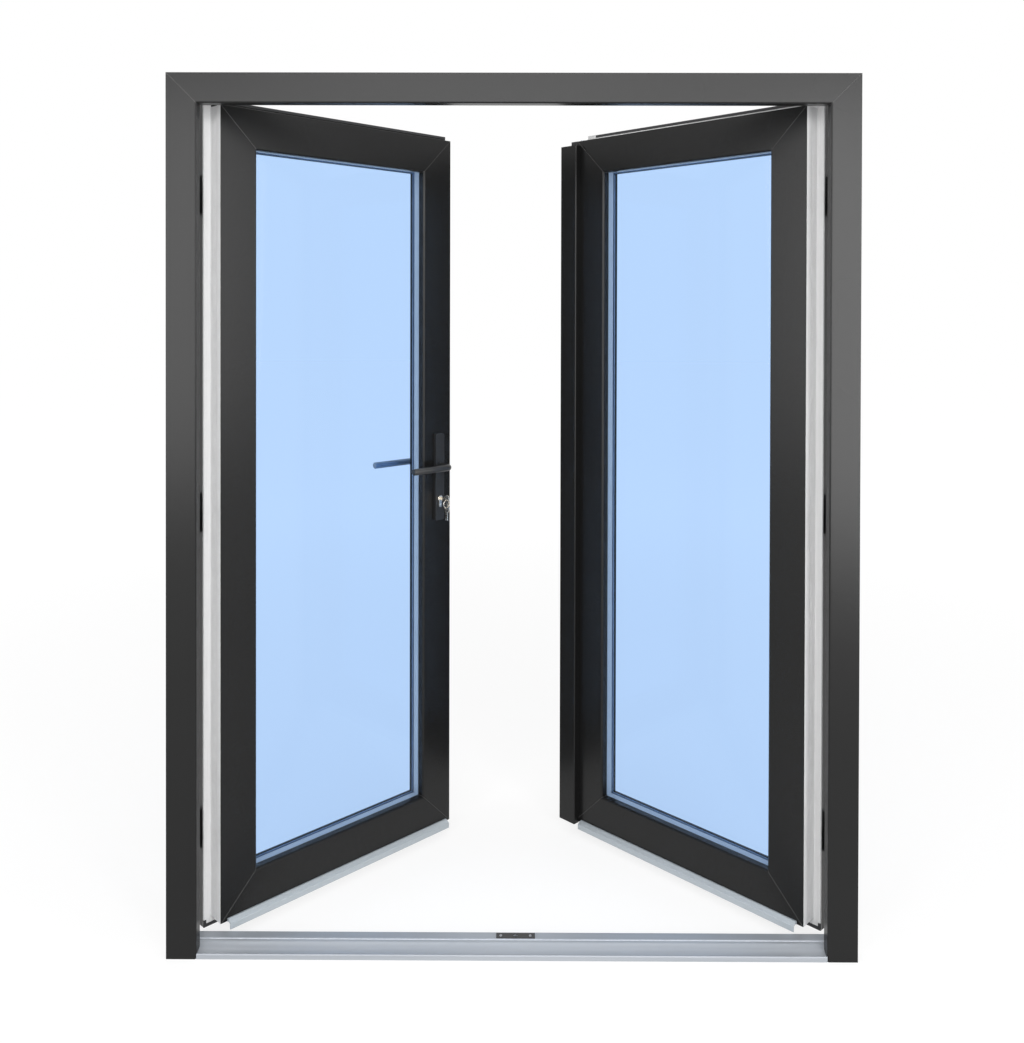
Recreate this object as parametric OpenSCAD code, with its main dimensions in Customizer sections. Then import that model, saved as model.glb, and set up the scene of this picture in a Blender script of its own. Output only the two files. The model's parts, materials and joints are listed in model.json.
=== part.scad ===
// French doors with their frame: two glazed leaves that open inwards, in hollow plastic bars.
// X runs to the right seen from outside, Y into the room, Z up. Millimetres.
// The origin is the middle of the threshold's underside.

/* [Frame] */
// Width of the frame
frame_w = 1600; // [1300:10:2200]
// Height of the frame
frame_h = 2050; // [1900:10:2500]
// Width of the frame's outer face
frame_face = 70; // [64:1:85]
// Depth of the frame through the wall
frame_depth = 76; // [74:1:84]
// Depth of the outer stop that the leaves close against
stop_depth = 28; // [24:1:30]
// How far the stop stands past the rebate floor
stop_step = 24; // [22:1:28]
// Bevel on the stop's outer edge
stop_bevel = 3; // [1:0.5:5]
// Wall of the hollow plastic bars
bar_wall = 3; // [2:0.5:4]

/* [Leaves] */
// Opening angle of both leaves as modelled
open_angle = 45; // [0:1:100]
// Depth of a leaf
leaf_depth = 70; // [66:1:76]
// Width of a leaf's bars seen from outside
leaf_face = 98; // [92:1:115]
// How far the stop covers the leaf's edge
leaf_cover = 12; // [8:1:14]
// How far the inner flange stands past the leaf's edge
flange_w = 20; // [17:1:24]
// Distance between the two leaves' edges where they meet
meeting_gap = 35; // [32:1:45]
// Gap between the stop and the leaf's outer face
stop_gap = 3; // [2:0.5:5]
// Gap between the frame and the leaf's inner flange
flange_gap = 4; // [3:0.5:6]
// How far the bottom flange hangs below the threshold's top
sill_overlap = 4; // [2:1:8]

/* [Glazing] */
// Depth of the glass behind the leaf's outer face
glass_set = 20; // [17:1:24]
// Height of the lip that holds the glass
glass_lip = 20; // [16:1:24]
// Bevel on that lip
lip_bevel = 4; // [2:0.5:7]
// Thickness of one pane
pane = 4; // [3:1:6]
// Space between the two panes
pane_space = 20; // [14:1:22]
// Thickness of the glazing gaskets
glass_gasket = 3; // [2:0.5:4]
// Gap round the glass in its pocket
glass_gap = 5; // [3:1:8]
// Width of the spacer bar
spacer_w = 12; // [8:1:16]

/* [Reinforcement] */
// Wall of the steel tubes
steel_wall = 1.5; // [1:0.5:3]
// Gap round a steel tube in its chamber
steel_gap = 0.3; // [0.2:0.1:0.6]
// Radius of the holes for the frame screws
screw_r = 3.8; // [3:0.1:5]
// Height of the lowest frame screw, and the distance of the highest from the frame's top
screw_end = 200; // [150:10:300]

/* [Hinges] */
// Radius of a knuckle
knuckle_r = 8.5; // [7.5:0.25:8.7]
// Radius of a hinge pin
pin_r = 5; // [4:0.25:6]
// Height of one knuckle
knuckle_h = 46; // [30:1:60]
// Distance of the pin from the flange's edge
pin_out = 10; // [9.5:0.5:14]
// Distance of the pin from the leaf's inner face
pin_off = 9; // [8.9:0.1:12]
// Thickness of the hinge plates
hinge_plate = 6; // [4:0.5:7]
// Distance of the end hinges from the leaf's ends
hinge_end = 210; // [150:10:350]

/* [Threshold] */
// Height of the threshold
sill_h = 20; // [18:1:22]
// Height of its front nose
nose_h = 12; // [9:1:14]
// Depth of the hollowed slope behind the nose
slope_d = 36; // [28:1:38]
// Width of the seal's groove
sill_groove = 5; // [4:0.5:6]
// Wall of the threshold
sill_wall = 2; // [1.5:0.5:3]
// Height of the end pieces at the jambs
end_piece_h = 35; // [20:1:50]
// Length of the keep plates
keep_l = 92; // [70:1:120]

/* [Drip rail] */
// How far the rail stands out of the leaf
rail_out = 16; // [12:1:18]
// Height of the rail
rail_h = 21; // [16:1:28]
// Height of the rail's top over the leaf's lower edge
rail_up = 8; // [6:1:14]
// Distance of the rail from the leaf's hinge edge
rail_start = 17; // [15:1:40]

/* [Lock] */
// Height of the lever's axis over the leaf's lower edge
lever_z = 1028; // [900:1:1100]
// Distance of the lever's axis from the leaf's edge
backset = 45; // [35:1:45]
// Distance of the cylinder below the lever
cylinder_drop = 92; // [85:1:100]
// Width of a backplate
plate_w = 32; // [28:1:36]
// Height of a backplate
plate_h = 246; // [220:2:270]
// Thickness of a backplate
plate_t = 9; // [6:1:12]
// Distance of a backplate's middle below the lever
plate_drop = 31; // [25:1:40]
// Length of a lever's grip
grip_l = 131; // [100:1:145]
// Radius of a lever's bar
grip_r = 9; // [7:0.5:10]
// Distance of the grip from the leaf's face
grip_out = 48; // [38:1:60]
// Throw of the latch past the leaf's edge
latch_throw = 20; // [16:1:22]
// Gap round moving pieces in the lock
lock_gap = 0.4; // [0.3:0.1:0.6]

/* [Astragal] */
// Width of the astragal's front plate
astragal_w = 59; // [55:1:62]
// How far it stands out of the leaf's face
astragal_out = 20; // [16:1:22]
// Radius of the shoot bolts
bolt_r = 4.5; // [3.5:0.25:5]
// Travel of the shoot bolts
bolt_travel = 20; // [12:1:20]

/* [Hidden] */
$fn = 48;
foil = "#45474c";
rubber = "#1b1c1e";
metal = "#b9bdc4";
steel = "#8d9196";
tint = "#b9d7ff";
eps = 1;
seal_gap = 0.3;
half_w = frame_w / 2;
clear_x = half_w - frame_face;
floor_x = clear_x + stop_step;
body_w = frame_face - stop_step;
leaf_x = clear_x + leaf_cover;
leaf_y = stop_depth + stop_gap;
flange_y = frame_depth + flange_gap - leaf_y;
leaf_w = leaf_x - meeting_gap / 2;
leaf_z = sill_h - sill_overlap + flange_w;
leaf_top = frame_h - frame_face + leaf_cover;
leaf_h = leaf_top - leaf_z;
pin_x = leaf_x + flange_w + pin_out;
pin_y = leaf_y + leaf_depth + pin_off;
pocket = leaf_face - glass_lip;
glass_u = pocket + glass_gap;
glass_y = glass_set + glass_gasket;
unit_d = 2 * pane + pane_space;
bead_y = glass_y + unit_d + glass_gasket;
gasket_w = 7;
groove_w = 16;
groove_d = 4;
groove_y = glass_set + 1;
chamber_y = glass_set + bar_wall / 2;
chamber_end = flange_y - bar_wall;
tube_u = groove_d + bar_wall;
tube_w = pocket - bar_wall - tube_u;
tube_d = chamber_end - chamber_y;
gasket_u = frame_face - leaf_cover / 2 - 1;
stem_w = 4;
stem_d = 4;
frame_tube_y = stop_depth - stem_d;
frame_tube_d = 40;
screw_y = frame_tube_y + frame_tube_d * 0.65;
screw_gap = (frame_h - 2 * screw_end) / 3;
nose_d = 4;
lip_d = 6;
groove_front = nose_d + slope_d + lip_d;
flat_front = groove_front + sill_groove;
groove_deep = 7;
hinge_zs = [leaf_z + hinge_end, (leaf_z + leaf_top) / 2, leaf_top - hinge_end];
pin_clear = 0.05;
knuckle_gap = 0.4;
lock_y = groove_y + groove_w / 2;
case_t = 14.6;
case_wall = 1.4;
case_back = 27;
case_under = 42;
case_high = 62;
case_d = backset + case_back;
case_low = -cylinder_drop - case_under;
faceplate_end = 30;
slack = 0.2;
faceplate_t = 2.5;
cam_r = 15;
cam_t = 10;
body_r = 8.5;
plug_r = 6.4;
latch_up = 30;
latch_h = 18;
latch_t = 11;
bolt_up = cam_r + 1 + 12;
dead_h = 24;
dead_t = 9;
hub_r = 9.5;
plate_round = 5;
bend_in = 5;
grip_end = 2;
plate_socket = 4;
spindle_w = 8;
spindle_in = 18;
plug_face = plate_t + 3;
key_t = 2.4;
bow_r = 12;
key_stem = 26;
key_blade = 22;
key_h = 9;
bow_out = plug_face + key_stem;
bow_hole = 3;
ring_r = 11;
wire_r = 1;
ring_z = -bow_hole + wire_r + seal_gap;
half_gap = meeting_gap / 2;
astragal_over = astragal_w / 2 - half_gap;
core_x = -6;
core_y = frame_depth;
lip_x = 4;
lip_y = frame_depth + 22;
front_y = leaf_y - astragal_out;
astragal_low = leaf_z - 2;
astragal_high = frame_h - frame_face - 2;
shoot_x = 9.5;
shoot_y = frame_depth - 14;
keep_t = 1.5;
keep_w = 20;
keep_gap = 3;
gear_up = 300;
gear_z = leaf_z + lever_z + gear_up;
flip_l = 64;
flip_t = 5;
flip_w = 12;
flip_pin_r = 1.5;

// Places

// From the frame's outer face at y = 0 to the part's own frame
module on_frame() {
    translate([0, -frame_depth / 2, 0]) children();
}

// A left-hand piece drawn in the closed position, swung open with its leaf
module swung() {
    on_frame() translate([-pin_x, pin_y, 0]) rotate([0, 0, open_angle]) translate([pin_x, -pin_y, 0])
        children();
}

// Leaf coordinates: x from the hinge edge, y from the outer face, z from the lower edge
module on_left_leaf() {
    swung() translate([-leaf_x, leaf_y, leaf_z]) children();
}

module on_right_leaf() {
    mirror([1, 0, 0]) on_left_leaf() children();
}

// Closed-position frame coordinates, swung with the right leaf
module with_right_leaf() {
    mirror([1, 0, 0]) swung() mirror([1, 0, 0]) children();
}

// Lock coordinates: x from the leaf's edge inwards as -u, y from the outer face, z from the lever's axis
module on_lock() {
    on_left_leaf() translate([leaf_w, 0, lever_z]) children();
}

// Bars

// Outline of a bar seen from outside, in distance from the outer edge and along the bar
function bar_end(cut, into, out) =
    cut == "square" ? [[into, 0], [-out, 0]]
    : cut == "trim" ? [[into, into], [0, 0], [-out, 0]]
    : [[into, into], [-out, -out]];

module cut_bar(length, depth, into, out = 0, near = "mitre", far = "mitre") {
    a = bar_end(near, into, out);
    b = [for (p = bar_end(far, into, out)) [p[0], length - p[1]]];
    flipped = [for (i = [len(b) - 1:-1:0]) b[i]];
    intersection() {
        translate([0, 0, -out]) linear_extrude(length + 2 * out) children();
        translate([0, depth + eps, 0]) rotate([90, 0, 0]) linear_extrude(depth + 2 * eps)
            polygon(concat(a, flipped));
    }
}

// A frame's or leaf's side: 0 left, 1 top, 2 right, 3 bottom, seen from outside
module on_side(side, w, h) {
    places = [[0, 0, 0], [0, 0, h], [w, 0, h], [w, 0, 0]];
    translate(places[side]) rotate([0, 90 * side, 0]) children();
}

module frame_profile() {
    difference() {
        polygon([
            [0, 0], [frame_face - stop_bevel, 0], [frame_face, stop_bevel], [frame_face, stop_depth],
            [body_w, stop_depth], [body_w, frame_depth], [0, frame_depth]
        ]);
        translate([bar_wall, bar_wall]) square([body_w - 1.5 * bar_wall, frame_tube_y - 2 * bar_wall]);
        translate([body_w + bar_wall / 2, bar_wall + stop_bevel])
            square([stop_step - 1.5 * bar_wall, frame_tube_y - 2 * bar_wall - stop_bevel]);
        translate([bar_wall, frame_tube_y]) square([body_w - 2 * bar_wall, frame_tube_d]);
        rear = frame_tube_y + frame_tube_d + bar_wall / 2;
        translate([bar_wall, rear]) square([body_w - 2 * bar_wall, frame_depth - bar_wall - rear]);
        translate([gasket_u - stem_w / 2, stop_depth - stem_d]) square([stem_w, stem_d + eps]);
    }
}

module frame_screw_holes() {
    for (i = [0:3])
        translate([-eps, screw_y, screw_end + i * screw_gap])
            rotate([0, 90, 0]) cylinder(r = screw_r, h = frame_face);
}

module jamb() {
    difference() {
        cut_bar(frame_h, frame_depth, frame_face, near = "square") frame_profile();
        frame_screw_holes();
    }
}

module left_jamb() {
    color(foil) on_frame() translate([-half_w, 0, 0]) jamb();
}

module right_jamb() {
    color(foil) mirror([1, 0, 0]) on_frame() translate([-half_w, 0, 0]) jamb();
}

module head() {
    color(foil) on_frame() difference() {
        translate([-half_w, 0, 0]) on_side(1, frame_w, frame_h)
            cut_bar(frame_w, frame_depth, frame_face) frame_profile();
        translate([shoot_x, shoot_y, frame_h - body_w - eps])
            cylinder(r = bolt_r + 1.5, h = bar_wall + 2 * eps);
    }
}

// Square tube in a chamber of the given corner and size
module tube_section(u, v, w, d) {
    translate([u + steel_gap, v + steel_gap]) difference() {
        square([w - 2 * steel_gap, d - 2 * steel_gap]);
        translate([steel_wall, steel_wall])
            square([w - 2 * steel_gap - 2 * steel_wall, d - 2 * steel_gap - 2 * steel_wall]);
    }
}

module frame_tube(length) {
    linear_extrude(length) tube_section(bar_wall, frame_tube_y, body_w - 2 * bar_wall, frame_tube_d);
}

module frame_steel() {
    jamb_tube = frame_h - frame_face - 2 * sill_h;
    color(steel) on_frame() {
        for (side = [0, 1])
            mirror([side, 0, 0]) translate([-half_w, 0, 0]) difference() {
                translate([0, 0, sill_h]) frame_tube(jamb_tube);
                frame_screw_holes();
            }
        difference() {
            translate([-half_w, 0, 0]) on_side(1, frame_w, frame_h)
                translate([0, 0, frame_face]) frame_tube(frame_w - 2 * frame_face);
            translate([shoot_x, shoot_y, frame_h - body_w])
                cylinder(r = bolt_r + 1.5, h = bolt_travel + bar_wall);
        }
    }
}

module frame_gasket_profile() {
    translate([gasket_u - stem_w / 2, stop_depth - stem_d]) square([stem_w, stem_d]);
    translate([gasket_u - gasket_w / 2, stop_depth]) square([gasket_w, stop_gap - seal_gap]);
}

module frame_gasket() {
    color(rubber) on_frame() {
        for (side = [0, 1])
            mirror([side, 0, 0]) translate([-half_w, 0, 0]) intersection() {
                cut_bar(frame_h, frame_depth, frame_face, near = "square") frame_gasket_profile();
                translate([0, 0, leaf_z]) cube([frame_face, frame_depth, frame_h]);
            }
        translate([-half_w, 0, 0]) on_side(1, frame_w, frame_h)
            cut_bar(frame_w, frame_depth, frame_face) frame_gasket_profile();
    }
}

// Threshold

// Hollow curve from the nose up to the lip
function slope_point(t) = [nose_d + slope_d * t, nose_h - 2 + (sill_h - nose_h + 2) * t * t];

module threshold_profile() {
    difference() {
        polygon(concat(
            [[0, 0], [frame_depth, 0], [frame_depth, sill_h], [flat_front, sill_h],
             [flat_front, sill_h - groove_deep], [groove_front, sill_h - groove_deep],
             [groove_front, sill_h]],
            [for (i = [10:-1:0]) slope_point(i / 10)],
            [[nose_d, nose_h], [2, nose_h], [0, nose_h - 2]]
        ));
        translate([nose_d, sill_wall]) square([slope_d * 0.6, nose_h - 2 - 2 * sill_wall]);
        rear = flat_front + sill_wall;
        translate([rear, sill_wall]) square([frame_depth - sill_wall - rear, sill_h - 2 * sill_wall]);
    }
}

module threshold() {
    color(metal) on_frame() difference() {
        intersection() {
            translate([-half_w, 0, 0]) rotate([90, 0, 90]) linear_extrude(frame_w) threshold_profile();
            linear_extrude(sill_h) union() {
                translate([-clear_x, 0]) square([2 * clear_x, frame_depth]);
                translate([-floor_x, stop_depth]) square([2 * floor_x, frame_depth - stop_depth]);
            }
        }
        translate([shoot_x, shoot_y, sill_h - sill_wall - eps])
            cylinder(r = bolt_r + 1, h = sill_wall + 2 * eps);
    }
}

module threshold_seal() {
    color(rubber) on_frame() translate([-floor_x, groove_front, sill_h - groove_deep])
        cube([2 * floor_x, sill_groove, groove_deep + 1]);
}

module threshold_ends() {
    color(metal) on_frame() for (side = [0, 1])
        mirror([side, 0, 0]) translate([-floor_x, flat_front, sill_h]) rotate([90, 0, 90])
            linear_extrude(leaf_cover / 2) difference() {
                square([frame_depth - flat_front, end_piece_h]);
                translate([0, end_piece_h]) rotate([0, 0, 45]) square(8, center = true);
            }
}

// Keep plate with a bolt hole and two screw holes
module keep_plate() {
    linear_extrude(keep_t) difference() {
        square([keep_l, keep_w], center = true);
        circle(r = bolt_r + 1);
        for (side = [-1, 1])
            translate([side * keep_l * 0.38, 0]) circle(r = 2);
    }
}

module threshold_keep() {
    color(rubber) on_frame() translate([shoot_x, shoot_y, sill_h]) keep_plate();
}

module head_keep() {
    color(metal) on_frame() translate([shoot_x, shoot_y, frame_h - body_w - keep_t]) keep_plate();
}

// Hinges

module hinge_bracket() {
    plate_x = -half_w + 4;
    difference() {
        union() {
            translate([-pin_x, pin_y, -knuckle_h]) cylinder(r = knuckle_r, h = knuckle_h - knuckle_gap / 2);
            translate([-pin_x - knuckle_r, frame_depth, -knuckle_h])
                cube([knuckle_r, pin_y - frame_depth, knuckle_h - knuckle_gap / 2]);
            translate([plate_x, frame_depth, -knuckle_h])
                cube([-pin_x - plate_x, hinge_plate, 2 * knuckle_h]);
        }
        translate([-pin_x, pin_y, -knuckle_h - eps]) cylinder(r = pin_r, h = knuckle_h + 2 * eps);
    }
}

module left_hinge_brackets() {
    color(foil) on_frame() for (z = hinge_zs)
        translate([0, 0, z]) hinge_bracket();
}

module right_hinge_brackets() {
    mirror([1, 0, 0]) left_hinge_brackets();
}

module left_hinge_pins() {
    color(metal) on_frame() for (z = hinge_zs)
        translate([-pin_x, pin_y, z]) {
            translate([0, 0, -knuckle_h]) cylinder(r = pin_r, h = 2 * knuckle_h);
            translate([0, 0, -knuckle_h - 3]) cylinder(r = knuckle_r, h = 3);
        }
}

module right_hinge_pins() {
    mirror([1, 0, 0]) left_hinge_pins();
}

module hinge_leaf() {
    plate_y = leaf_y + leaf_depth;
    difference() {
        union() {
            translate([-pin_x, pin_y, knuckle_gap / 2]) cylinder(r = knuckle_r, h = knuckle_h);
            translate([-pin_x, plate_y, knuckle_gap / 2]) cube([pin_out + 2, hinge_plate, knuckle_h]);
            translate([-pin_x + pin_out + 2, plate_y, -knuckle_h]) cube([32, hinge_plate, 2 * knuckle_h]);
        }
        translate([-pin_x, pin_y, -knuckle_h - eps])
            cylinder(r = pin_r + pin_clear, h = 2 * knuckle_h + 2 * eps);
    }
}

module left_hinge_leaves() {
    color(foil) swung() for (z = hinge_zs)
        translate([0, 0, z]) hinge_leaf();
}

module right_hinge_leaves() {
    mirror([1, 0, 0]) left_hinge_leaves();
}

// Leaves

module leaf_profile(flange) {
    outer = -flange;
    difference() {
        polygon(concat(
            [[0, 0], [leaf_face - lip_bevel, 0], [leaf_face, lip_bevel], [leaf_face, glass_set],
             [pocket, glass_set], [pocket, leaf_depth]],
            flange > 0 ? [[-flange, leaf_depth], [-flange, flange_y], [0, flange_y]] : [[0, leaf_depth]],
            [[0, groove_y + groove_w], [groove_d, groove_y + groove_w], [groove_d, groove_y], [0, groove_y]]
        ));
        translate([bar_wall, bar_wall])
            square([leaf_face - lip_bevel - 2 * bar_wall, glass_set - 2 * bar_wall]);
        translate([tube_u, chamber_y]) square([tube_w, tube_d]);
        translate([outer + bar_wall, flange_y + bar_wall])
            square([pocket - outer - 2 * bar_wall, leaf_depth - flange_y - 2 * bar_wall]);
    }
}

// One side of a leaf; the meeting side of the passive leaf has no flange
module leaf_bar(side, plain_meeting = false) {
    length = side % 2 == 0 ? leaf_h : leaf_w;
    flange = plain_meeting && side == 2 ? 0 : flange_w;
    near = plain_meeting && side == 3 ? "trim" : "mitre";
    far = plain_meeting && side == 1 ? "trim" : "mitre";
    on_side(side, leaf_w, leaf_h)
        cut_bar(length, leaf_depth, leaf_face, flange, near, far) leaf_profile(flange);
}

// The lock's mortise and the holes for spindle and cylinder, in lock coordinates
module euro_outline(grow) {
    circle(r = body_r + grow);
    translate([-5 - grow, -19.5]) square([10 + 2 * grow, 19.5]);
    translate([0, -19.5]) circle(r = 5 + grow);
}

module across_leaf(y0, y1) {
    translate([0, y1, 0]) rotate([90, 0, 0]) linear_extrude(y1 - y0) children();
}

module lock_cuts() {
    translate([-case_d - lock_gap, lock_y - case_t / 2 - lock_gap, case_low - lock_gap])
        cube([case_d + eps, case_t + 2 * lock_gap, case_high - case_low + 2 * lock_gap]);
    translate([-backset, 0, 0]) across_leaf(-eps, leaf_depth + eps) circle(r = hub_r + 1);
    translate([-backset, 0, -cylinder_drop]) across_leaf(-eps, leaf_depth + eps) euro_outline(1);
}

module left_hinge_stile() {
    color(foil) on_left_leaf() leaf_bar(0);
}

module left_top_rail() {
    color(foil) on_left_leaf() leaf_bar(1);
}

module left_lock_stile() {
    color(foil) on_left_leaf() difference() {
        leaf_bar(2);
        translate([leaf_w, 0, lever_z]) lock_cuts();
    }
}

module left_bottom_rail() {
    color(foil) on_left_leaf() leaf_bar(3);
}

module right_hinge_stile() {
    color(foil) on_right_leaf() leaf_bar(0, true);
}

module right_top_rail() {
    color(foil) on_right_leaf() leaf_bar(1, true);
}

module right_meeting_stile() {
    color(foil) on_right_leaf() leaf_bar(2, true);
}

module right_bottom_rail() {
    color(foil) on_right_leaf() leaf_bar(3, true);
}

module leaf_tubes() {
    for (side = [0:3]) {
        length = side % 2 == 0 ? leaf_h : leaf_w;
        on_side(side, leaf_w, leaf_h) translate([0, 0, leaf_face])
            linear_extrude(length - 2 * leaf_face) tube_section(tube_u, chamber_y, tube_w, tube_d);
    }
}

module left_steel() {
    color(steel) on_left_leaf() difference() {
        leaf_tubes();
        translate([leaf_w, 0, lever_z]) lock_cuts();
    }
}

module right_steel() {
    color(steel) on_right_leaf() leaf_tubes();
}

module pane_sheet(y) {
    translate([glass_u, y, glass_u]) cube([leaf_w - 2 * glass_u, pane, leaf_h - 2 * glass_u]);
}

module panes() {
    pane_sheet(glass_y);
    pane_sheet(glass_y + pane + pane_space);
}

module left_panes() {
    color(tint) on_left_leaf() panes();
}

module right_panes() {
    color(tint) on_right_leaf() panes();
}

module spacer() {
    inner = glass_u + spacer_w;
    difference() {
        translate([glass_u, glass_y + pane, glass_u])
            cube([leaf_w - 2 * glass_u, pane_space, leaf_h - 2 * glass_u]);
        translate([inner, glass_y, inner]) cube([leaf_w - 2 * inner, unit_d, leaf_h - 2 * inner]);
    }
}

module left_spacer() {
    color(metal) on_left_leaf() spacer();
}

module right_spacer() {
    color(metal) on_right_leaf() spacer();
}

// Runs a small section round all four sides of a leaf
module round_leaf(out = 0, sides = [0, 1, 2, 3], plain_meeting = false) {
    for (side = sides) {
        near = plain_meeting && side == 3 ? "trim" : "mitre";
        far = plain_meeting && side == 1 ? "trim" : "mitre";
        on_side(side, leaf_w, leaf_h)
            cut_bar(side % 2 == 0 ? leaf_h : leaf_w, leaf_depth, leaf_face, out, near, far) children();
    }
}

module bead_profile() {
    wall = bar_wall * 0.6;
    slant = glass_lip / 2;
    difference() {
        polygon([
            [pocket, bead_y], [leaf_face, bead_y], [leaf_face, (bead_y + leaf_depth) / 2],
            [leaf_face - slant, leaf_depth], [pocket, leaf_depth]
        ]);
        translate([pocket + wall, bead_y + wall])
            square([glass_lip - slant - 2 * wall, leaf_depth - bead_y - 2 * wall]);
    }
}

module left_beads() {
    color(foil) on_left_leaf() round_leaf() bead_profile();
}

module right_beads() {
    color(foil) on_right_leaf() round_leaf() bead_profile();
}

module glazing_gasket_profile() {
    for (y = [glass_set, glass_y + unit_d])
        translate([leaf_face - gasket_w - 1, y]) square([gasket_w, glass_gasket]);
}

module left_glazing_gasket() {
    color(rubber) on_left_leaf() round_leaf() glazing_gasket_profile();
}

module right_glazing_gasket() {
    color(rubber) on_right_leaf() round_leaf() glazing_gasket_profile();
}

module overlap_gasket_profile() {
    thick = flange_gap - seal_gap;
    translate([-flange_w, flange_y - thick]) square([gasket_w, thick]);
}

module left_overlap_gasket() {
    color(rubber) on_left_leaf() round_leaf(flange_w) overlap_gasket_profile();
}

module right_overlap_gasket() {
    color(rubber) on_right_leaf() round_leaf(flange_w, [0, 1, 3], true) overlap_gasket_profile();
}

// Rail with a sloped top, a rounded front and a drip edge below
module drip_rail(finish) {
    low = rail_up - rail_h;
    edge = 3;
    translate([rail_start, 0, 0]) rotate([90, 0, 90]) linear_extrude(finish - rail_start) polygon([
        [0, 0], [0, rail_up], [-4, rail_up], [-rail_out, rail_up - 7], [-rail_out, low],
        [-rail_out + edge, low], [-rail_out + edge, rail_up - 9], [-4, rail_up - 4], [-edge, rail_up - 4],
        [-edge, 0]
    ]);
}

module left_drip_rail() {
    color(metal) on_left_leaf() drip_rail(leaf_w - astragal_over - 2.5);
}

module right_drip_rail() {
    color(metal) on_right_leaf() drip_rail(leaf_w - astragal_over - 10);
}

// Lock

module lock_case() {
    inner = case_t - 2 * case_wall;
    color(steel) on_lock() difference() {
        translate([-case_d, lock_y - case_t / 2, case_low])
            cube([case_d - groove_d, case_t, case_high - case_low]);
        translate([-case_d + case_wall, lock_y - inner / 2, case_low + case_wall])
            cube([case_d - groove_d - 2 * case_wall, inner, case_high - case_low - 2 * case_wall]);
        translate([-backset, 0, 0]) across_leaf(0, leaf_depth) circle(r = hub_r + pin_clear);
        translate([-backset, 0, -cylinder_drop]) across_leaf(0, leaf_depth) euro_outline(lock_gap);
        latch_hole();
        dead_hole();
    }
}

module latch_hole() {
    low = latch_up - latch_h / 2;
    translate([-groove_d - case_wall - eps, lock_y - latch_t / 2 - lock_gap, low - lock_gap])
        cube([groove_d + case_wall + 3 * eps, latch_t + 2 * lock_gap, latch_h + 2 * lock_gap]);
}

module dead_hole() {
    low = -cylinder_drop + bolt_up - dead_h / 2;
    translate([-groove_d - case_wall - eps, lock_y - dead_t / 2 - lock_gap, low - lock_gap])
        cube([groove_d + case_wall + 3 * eps, dead_t + 2 * lock_gap, dead_h + 2 * lock_gap]);
}

module faceplate() {
    color(metal) on_lock() difference() {
        translate([-groove_d, lock_y - groove_w / 2 + slack, case_low - faceplate_end])
            cube([faceplate_t, groove_w - 2 * slack, case_high - case_low + 2 * faceplate_end]);
        latch_hole();
        dead_hole();
    }
}

// Long plate with rounded corners, in the plane of the leaf
module rounded(w, h, r) {
    square([w - 2 * r, h], center = true);
    square([w, h - 2 * r], center = true);
    for (x = [-1, 1], y = [-1, 1])
        translate([x * (w / 2 - r), y * (h / 2 - r)]) circle(r = r);
}

module backplate(y0, y1) {
    translate([-backset, 0, 0]) difference() {
        translate([0, 0, -plate_drop]) across_leaf(y0, y1) rounded(plate_w, plate_h, plate_round);
        across_leaf(y0 - eps, y1 + eps) circle(r = grip_r + lock_gap);
        translate([0, 0, -cylinder_drop]) across_leaf(y0 - eps, y1 + eps) euro_outline(lock_gap);
    }
}

module outer_backplate() {
    color(foil) on_lock() backplate(-plate_t, 0);
}

module inner_backplate() {
    color(metal) on_lock() backplate(leaf_depth, leaf_depth + plate_t);
}

module cylinder_body() {
    color(metal) on_lock() translate([-backset, 0, -cylinder_drop]) difference() {
        across_leaf(-plug_face, leaf_depth + plug_face) euro_outline(0);
        across_leaf(-plug_face - eps, leaf_depth + plug_face + eps) circle(r = plug_r + pin_clear);
        across_leaf(lock_y - cam_t / 2 - lock_gap, lock_y + cam_t / 2 + lock_gap)
            circle(r = cam_r + lock_gap);
    }
}

// Lever: neck out of the backplate, a quarter bend and a straight grip with a flat, eased end
module lever() {
    bend = grip_r + bend_in;
    neck = grip_out - bend;
    difference() {
        union() {
            cylinder(r = grip_r, h = neck);
            translate([-bend, 0, neck]) rotate([90, 0, 0]) rotate_extrude(angle = 90)
                translate([bend, 0]) circle(r = grip_r);
            translate([-bend, 0, grip_out]) rotate([0, -90, 0]) cylinder(r = grip_r, h = grip_l - bend);
            translate([-grip_l, 0, grip_out]) rotate([0, -90, 0])
                cylinder(r1 = grip_r, r2 = grip_r - grip_end, h = grip_end);
        }
        translate([0, 0, spindle_in - neck])
            cube([spindle_w + slack, spindle_w + slack, 2 * neck], center = true);
    }
}

module outer_lever() {
    color(foil) on_lock() translate([-backset, 0, 0]) rotate([90, 0, 0])
        translate([0, 0, plate_t - plate_socket]) lever();
}

module inner_lever() {
    color(metal) on_lock() translate([-backset, leaf_depth, 0]) mirror([0, 1, 0]) rotate([90, 0, 0])
        translate([0, 0, plate_t - plate_socket]) lever();
}

module spindle() {
    reach = plate_t - plate_socket + spindle_in - lock_gap;
    color(steel) on_lock() translate([-backset, 0, 0]) across_leaf(-reach, leaf_depth + reach)
        square(spindle_w, center = true);
}

module follower() {
    arm = case_t - 2 * case_wall - 1;
    color(steel) on_lock() translate([-backset, 0, 0]) difference() {
        union() {
            across_leaf(lock_y - case_t / 2, lock_y + case_t / 2) circle(r = hub_r);
            across_leaf(lock_y - arm / 2, lock_y + arm / 2) translate([-3, 0]) square([6, 19]);
        }
        across_leaf(0, leaf_depth) square(spindle_w + slack, center = true);
    }
}

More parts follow.
